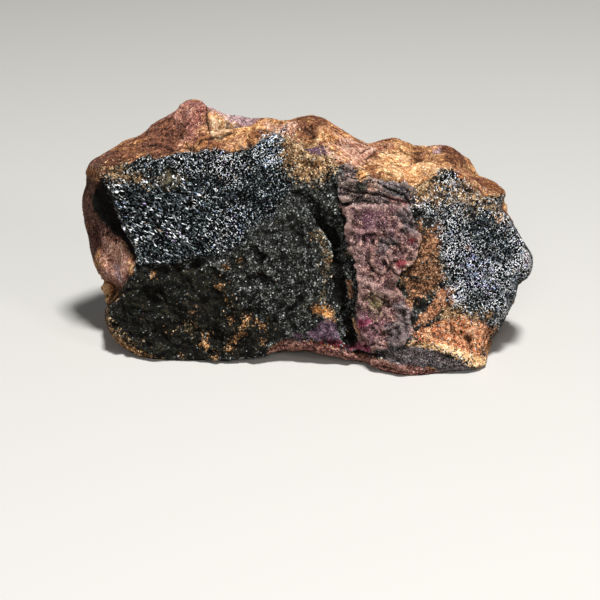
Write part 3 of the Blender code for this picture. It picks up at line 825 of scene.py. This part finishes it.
def druse_crystals(rock, zones):
    """The sparkling crystals: blades that lie one way at the left, fine stubby ones elsewhere."""
    druse = zones.depth["druse"]
    right_side = (inside(zones.seen, RIGHT_DRUSE) > -2) * 1.0
    # The druse thins where stains, the painted edge highlight and olive patches lie
    stained = step_up(np.maximum(zones.depth["stain"], zones.depth["pale_edge"]), -0.6, 0.6)
    stained = np.maximum(stained, 0.6 * step_up(zones.depth["olive"], -0.8, 0.8))
    leftward = 1 - step_up(zones.seen[:, 0], 170, 250)
    bladed = step_up(druse, -0.2, 0.6) * leftward * step_up(zones.seen[:, 1], 168, 196)
    fine = step_up(druse, -0.8, 0.8)
    blade, stub = crystal_shape("blade", 0.85, 0.4), crystal_shape("stub", 0.6, 0.45)
    for name, shape, density, size in (
        ("bladed_druse", blade, 4 * bladed * (1 - stained), (0.95, 0.30, 0.5)),
        ("fine_druse", stub, 20 * fine * (1 - right_side) * (1 - 0.85 * stained), (0.34, 0.28, 0.45)),
        ("right_druse", stub, 24 * fine * right_side * (1 - 0.45 * stained), (0.32, 0.26, 0.42)),
    ):
        at, out, depth = scattered(rock, zones, density)
        number = len(at)
        seen = seen_at(at)
        way = one_way(BLADES, number) if shape is blade else any_way(number)
        axes = laid(out, way, 0.36, 0.3)
        blue = inside(seen, BLUE_TIP) > 0
        cluster = np.clip(1 + lumps(at, 5.0, 95, 2) + 0.6 * lumps(at, 1.6, 96, 2), 0.2, 2.2)
        if name == "bladed_druse":
            dark, bright = 0.45, 0.44 * cluster * (1 - 0.7 * step_up(seen[:, 1], 228, 262))
        elif name == "right_druse":
            dark, bright = 0.48, 0.36 * cluster
        else:
            dim = step_up(seen[:, 0], 235, 262) * (~blue)
            among = (1 - step_up(seen[:, 0], 170, 250)) * step_up(seen[:, 1], 168, 196)
            bright = (np.where(blue, 0.62, 0.26) - 0.16 * dim) * cluster * (1 - 0.8 * among)
            dark = np.where(blue, 0.3, 0.55 + 0.15 * among)
        tone = shades(number, dark, bright)
        violet = np.exp(-(from_line(seen, ((470, 262), (480, 280))) / 4) ** 2)
        violet += np.exp(-(from_line(seen, ((236, 214), (242, 244))) / 3) ** 2)
        tarnish = RANDOM.random(number) ** (1 - np.minimum(0.5 * blue + 0.85 * violet, 0.85))
        tarnish = np.where(blue, np.minimum(tarnish, 0.97), tarnish)
        yield grown(name, shape, at, axes, size, 0.4, {"tone": tone, "tarnish": tarnish})


def crust_grains(rock, zones):
    """The black crust's small grains, some of them stained with iron: on the face, then on its lobe."""
    shape = crystal_shape("grain", 0.6, 0.75)
    bare = np.max([zones.depth[name] for name in STONY], axis=0)
    crust = np.min([zones.depth["front"], -bare, 0.8 - zones.depth["druse"]], axis=0)
    stained = step_up(zones.depth["stain"], -1.0, 1.0)
    specked = step_up(np.max([zones.depth[n] for n in ("rust", "ledge", "purple")], axis=0), -0.4, 0.4)
    density = np.max([14 * step_up(crust, -0.5, 0.5), 6 * stained, 2 * specked], axis=0)
    sooty_part = step_up(np.maximum(zones.depth["lobe"], 0.6 * zones.depth["gully"]), -0.5, 0.5)
    for name, share in (("crust_grains", 1 - sooty_part), ("lobe_grains", 0.8 * sooty_part)):
        at, out, depth = scattered(rock, zones, density * share)
        number = len(at)
        patches = step_up(lumps(at, 2.0, 91, 3), 0.35, 0.6)
        rusty = np.clip(0.65 * step_up(depth["stain"], -1.6, 1.4), 0.002, 1)
        rusty = np.maximum(rusty, 0.03 * patches * step_up(depth["lobe"], -3, 1))
        for zone, most, low, high in RUSTY_ZONES:
            rusty = np.maximum(rusty, most * step_up(depth[zone], low, high))
        iron = RANDOM.random(number) < rusty
        sooty = RANDOM.random(number) < 0.95 * step_up(depth["lobe"], -1, 1)
        tone = shades(number, np.where(sooty, 0.80, 0.71), np.where(sooty, 0.01, 0.04))
        # Grains in hollows are darker and those on crests lighter: partly rubbed crests, partly painted
        # shade and highlight
        tone *= np.where(sooty, 0.42, 0.92) * (1.15 - 0.85 * step_up(depth["hollow"], -0.25, 0.3))
        tone = np.where(iron, 0.9 * RANDOM.random(number), tone)
        axes = laid(out, any_way(number), 0.6, 1.0)
        tones = {"tone": tone, "iron": iron.astype(float)}
        yield grown(name, shape, at, axes, CRUST_GRAIN, 0.4, tones)


def stone_flakes(rock, zones):
    """Flakes and crumbs of the iron-stained stone, laid along the rind's fibres."""
    shape = crystal_shape("flake", 0.7, 0.75)
    stony = np.max([zones.depth[name] for name in STONY], axis=0)
    rind = step_up(-zones.depth["front"], -0.3, 0.3)
    density = np.maximum(rind * (0.5 + 4 * step_up(zones.shown, -2, 0)), 6 * step_up(stony, -0.2, 0.3))
    at, out, depth = scattered(rock, zones, density)
    number = len(at)
    angle = np.where(at[:, 0] < 2, STROKES_LEFT, STROKES_RIGHT)
    way = np.stack([np.cos(angle), np.zeros(number), np.sin(angle)], 1)
    crumbly = np.max([depth[name] for name in STONY], axis=0) > 0
    way[crumbly] = any_way(crumbly.sum())
    size = np.where(crumbly[:, None], (0.40, 0.30, 0.2), (0.60, 0.26, 0.15))
    for name in OUTLINES:
        depth[name] = depth[name] + RANDOM.normal(0, 0.3, number)
    tones = depth | {"tone": RANDOM.normal(-0.1, 0.7, number)}
    return grown("stone_flakes", shape, at, laid(out, way, 0.25, 0.5), size, 0.55, tones)


def linear(hex_colour):
    """An sRGB hex colour as the linear colour that a shader takes."""
    values = [int(hex_colour[i : i + 2], 16) / 255 for i in (1, 3, 5)]
    return (*(v / 12.92 if v <= 0.04045 else ((v + 0.055) / 1.055) ** 2.4 for v in values), 1)


def new_finish(name):
    """An empty material, the function that adds its nodes, and the piece's own coordinates."""
    material = bpy.data.materials.new(name)
    material.use_nodes = True
    tree = material.node_tree
    tree.nodes.clear()

    def add(kind, inputs=None, output=0, **settings):
        """Adds a node with its settings, sets or links its inputs and gives back one of its outputs."""
        node = tree.nodes.new("ShaderNode" + kind)
        for setting, value in settings.items():
            setattr(node, setting, value)
        for socket, value in (inputs or {}).items():
            if isinstance(value, bpy.types.NodeSocket):
                tree.links.new(value, node.inputs[socket])
            else:
                node.inputs[socket].default_value = value
        return node.outputs[output] if node.outputs else node

    return material, add, add("TexCoord", output="Object")


def coated(add, surface, coats):
    """A surface under coats. Each has its colour, what it follows, from where to where, and its most."""
    for colour, follows, low, high, most in coats:
        share = add("MapRange", {"Value": follows, "From Min": low, "From Max": high, "To Max": most})
        surface = add("Mix", {0: share, 6: surface, 7: colour}, 2, data_type="RGBA")
    return surface


def rock_finish():
    """Weathered manganese ore: limonite rind, haematite matrix and black crust in one broken surface."""
    material, add, where = new_finish("weathered_manganese_ore")
    stored = ("tone", "hollow", "crack")
    value = {name: add("Attribute", output="Fac", attribute_name=name) for name in stored}
    x = add("SeparateXYZ", {0: where})
    rightward = add("MapRange", {"Value": x, "From Min": TURNED_FROM * MM, "From Max": TURNED_TO * MM})
    strokes = []
    for angle in (STROKES_LEFT, STROKES_RIGHT):
        turn = {"Vector": where, "Scale": (STROKE_LENGTH, 1, 1), "Rotation": (0, -angle, 0)}
        strokes.append(add("Mapping", turn, vector_type="TEXTURE"))
    for name, (size, detail, roughness, warp) in STONE_PATTERNS.items():
        noise = {"Scale": 1 / (size * MM), "Detail": detail, "Roughness": roughness, "Distortion": warp}
        if name in ("fibre", "hair"):
            left, right = [add("TexNoise", noise | {"Vector": stroke}) for stroke in strokes]
            value[name] = add("Mix", {0: rightward, 2: left, 3: right})
        else:
            value[name] = add("TexNoise", noise | {"Vector": where})

    def mineral(shade, body, patch, pale, fibrous=False):
        """One mineral's mottle: patched, with dark and pale flecks, and paler on its crests than in its
        folds, partly as wear and partly as a painted highlight.
        """
        colours = {"shade": shade, "body": body, "patch": patch, "pale": pale}
        strokes, grit = ("fibre", "hair") if fibrous else ("ragged", "grit")
        follows = value | {"strokes": value[strokes], "grit": value[grit]}
        coats = [(linear(colours[colour]), follows[name], *how) for colour, name, *how in MOTTLE]
        return coated(add, linear(shade), coats)

    # Limonite rind: earthy iron oxide, ochre with dry cream where it powders and brown in its folds; its
    # crests are paler, partly as a painted highlight
    surface = mineral("#341A0C", "#B07244", "#8E5644", "#FFD49C", fibrous=True)
    darker = mineral("#1C0C06", "#74442A", "#5E3630", "#C88C5C", fibrous=True)
    surface = coated(add, surface, [(darker, value["broad"], 0.50, 0.58, 1)])

    # Soot in patches, only on the sides that the photograph hides
    sooty = mineral("#060504", "#26241F", "#382A20", "#6A5A48")
    blotch = add("Math", {0: value["patchy"], 1: 0.5, 2: value["broad"]}, operation="MULTIPLY_ADD")
    blotch = add("Math", {0: value["ragged"], 1: 0.35, 2: blotch}, operation="MULTIPLY_ADD")
    blotch = add("MapRange", {"Value": blotch, "From Min": 0.84, "From Max": 0.78})
    hidden = add("Attribute", output="Fac", attribute_name="hidden")
    hidden = add("Math", {0: value["patchy"], 1: 4.0, 2: hidden}, operation="MULTIPLY_ADD")
    hidden = add("MapRange", {"Value": hidden, "From Min": 1.0, "From Max": 3.0, "To Max": blotch})
    surface = coated(add, surface, [(sooty, hidden, 0, 1, 1)])

    # Each mineral over the last, with an edge that crumbles along the specks or the ragged breaks
    for zone, *colours, _, crumbled, most in MINERALS:
        depth = add("Attribute", output="Fac", attribute_name=zone)
        crumbling = value["speck" if crumbled > 1 else "ragged"]
        edge = add("Math", {0: crumbling, 1: 2 * crumbled, 2: depth}, operation="MULTIPLY_ADD")
        mottled = mineral(*colours, fibrous=zone in FIBROUS)
        surface = coated(add, surface, [(mottled, edge, crumbled - ZONE_EDGE, crumbled + ZONE_EDGE, most)])

    # Dark colour in every fold and crack: painted shade where less light reaches, with some fine dust
    folded = add("MapRange", {"Value": value["hollow"], "From Min": 0.02, "From Max": 0.35, "To Max": 0.8})
    cracked = add("MapRange", {"Value": value["crack"], "From Min": 0.3, "From Max": 0.8, "To Max": 0.85})
    dust_and_painted_shade = add("Math", {0: folded, 1: cracked}, operation="MAXIMUM")
    surface = coated(add, surface, [(linear("#0C0706"), dust_and_painted_shade, 0, 1, 1)])
    height = add("Math", {0: value["fibre"], 1: value["speck"]}, operation="ADD")
    bump = add("Bump", {"Strength": 0.9, "Distance": 0.5 * MM, "Height": height})
    looks = {"Base Color": surface, "Roughness": 0.85, "Specular IOR Level": 0.1, "Normal": bump}
    add("OutputMaterial", {"Surface": add("BsdfPrincipled", looks)})
    return material


def crystal_finish():
    """Pyrolusite crystal faces: an opaque oxide with a metallic lustre, near black but for its glints."""
    material, add, where = new_finish("pyrolusite_crystal_faces")
    tone = add("Attribute", output="Fac", attribute_name="tone")
    tarnish = add("Attribute", output="Fac", attribute_name="tarnish")
    tarnishes = (("#B4CCFA", 0.92, 0.93), ("#CCAEE6", 0.975, 0.98), ("#D0B498", 0.06, 0.05))
    coats = [(linear(colour), tarnish, low, high, 1) for colour, low, high in tarnishes]
    sheen = coated(add, linear("#FAFCFF"), coats)
    coats = [(linear("#808C90"), tone, 0.1, 0.55, 1), (sheen, tone, 0.55, 0.8, 1)]
    face = coated(add, linear("#040505"), coats)
    looks = {"Base Color": face, "Metallic": 1.0, "Roughness": 0.36}
    add("OutputMaterial", {"Surface": add("BsdfPrincipled", looks)})
    return material


def grain_finish():
    """Fine pyrolusite grains too small to show faces, so sooty and dull, and crumbs of earthy limonite."""
    material, add, where = new_finish("sooty_pyrolusite_grains")
    tone = add("Attribute", output="Fac", attribute_name="tone")
    iron = add("Attribute", output="Fac", attribute_name="iron")
    patchy = add("TexNoise", {"Vector": where, "Scale": 1 / (2.4 * MM), "Detail": 4.0, "Roughness": 0.6})
    pale = coated(add, linear("#C8CCC8"), [(linear("#B8AC88"), patchy, 0.52, 0.64, 1)])
    coats = [(linear("#9C7650"), tone, 0.1, 0.6, 1), (linear("#F8E0B8"), tone, 0.7, 1.0, 1)]
    earthy = coated(add, linear("#442A18"), coats)
    coats = [(linear("#A0A4A2"), tone, 0.12, 0.6, 1), (pale, tone, 0.6, 1.1, 1), (earthy, iron, 0, 1, 1)]
    colour = coated(add, linear("#020302"), coats)
    looks = {"Base Color": colour, "Roughness": 0.6, "Specular IOR Level": 0.15}
    add("OutputMaterial", {"Surface": add("BsdfPrincipled", looks)})
    return material


def finish_piece(piece, material):
    """Gives a piece its finish and its place in the frame."""
    piece.data.materials.append(material)
    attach(piece, "root")


def lay_floor():
    """A plain pale floor under the stone."""
    bpy.ops.object.select_all(action="DESELECT")
    bpy.ops.mesh.primitive_circle_add(vertices=64, radius=4.0, fill_type="NGON", location=(0, 0, 0))
    floor = bpy.context.object
    floor.name = "floor"
    # Matte paper, which scatters all its light and shows no streak of the lamps
    material, add, where = new_finish("matte_paper_floor")
    looks = {"Base Color": linear("#B2B0AB"), "Roughness": 0.9}
    add("OutputMaterial", {"Surface": add("BsdfPrincipled", looks)})
    floor.data.materials.append(material)


def light_studio():
    """Soft studio light from above, brighter from the front left, with a dim room round it."""
    for name, size, place, power in LIGHTS:
        lamp = bpy.data.lights.new(name, "AREA")
        lamp.size = size
        lamp.energy = power
        light = bpy.data.objects.new(name, lamp)
        light.location = place
        light.rotation_euler = (Vector(LIT_PLACE) - Vector(place)).to_track_quat("-Z", "Y").to_euler()
        bpy.context.scene.collection.objects.link(light)
    world = bpy.data.worlds.new("studio_room")
    world.use_nodes = True
    room = world.node_tree.nodes["Background"].inputs
    room["Color"].default_value = linear("#C4C8CE")
    room["Strength"].default_value = 0.12
    bpy.context.scene.world = world


def set_camera():
    """The photograph's view."""
    data = bpy.data.cameras.new("camera")
    data.sensor_width = SENSOR
    data.lens = SENSOR * EYE_DISTANCE / (2 * PICTURE_MIDDLE * PIXEL)
    data.clip_start = 0.01
    camera = bpy.data.objects.new("camera", data)
    camera.location = EYE * MM
    camera.rotation_euler = (math.pi / 2 - EYE_TILT, 0, 0)
    bpy.context.scene.collection.objects.link(camera)
    bpy.context.scene.camera = camera


set_camera()
light_studio()
lay_floor()
rock = rock_blank()
zones = shape_rock(rock)
ore = rock_finish()
finish_piece(rock, ore)
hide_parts(NODE)
finish_piece(stone_flakes(rock, zones), ore)
glinting = crystal_finish()
for druse in druse_crystals(rock, zones):
    finish_piece(druse, glinting)
sooty = grain_finish()
for crust in crust_grains(rock, zones):
    finish_piece(crust, sooty)

bpy.context.scene.view_settings.view_transform = "Standard"
bpy.context.view_layer.update()
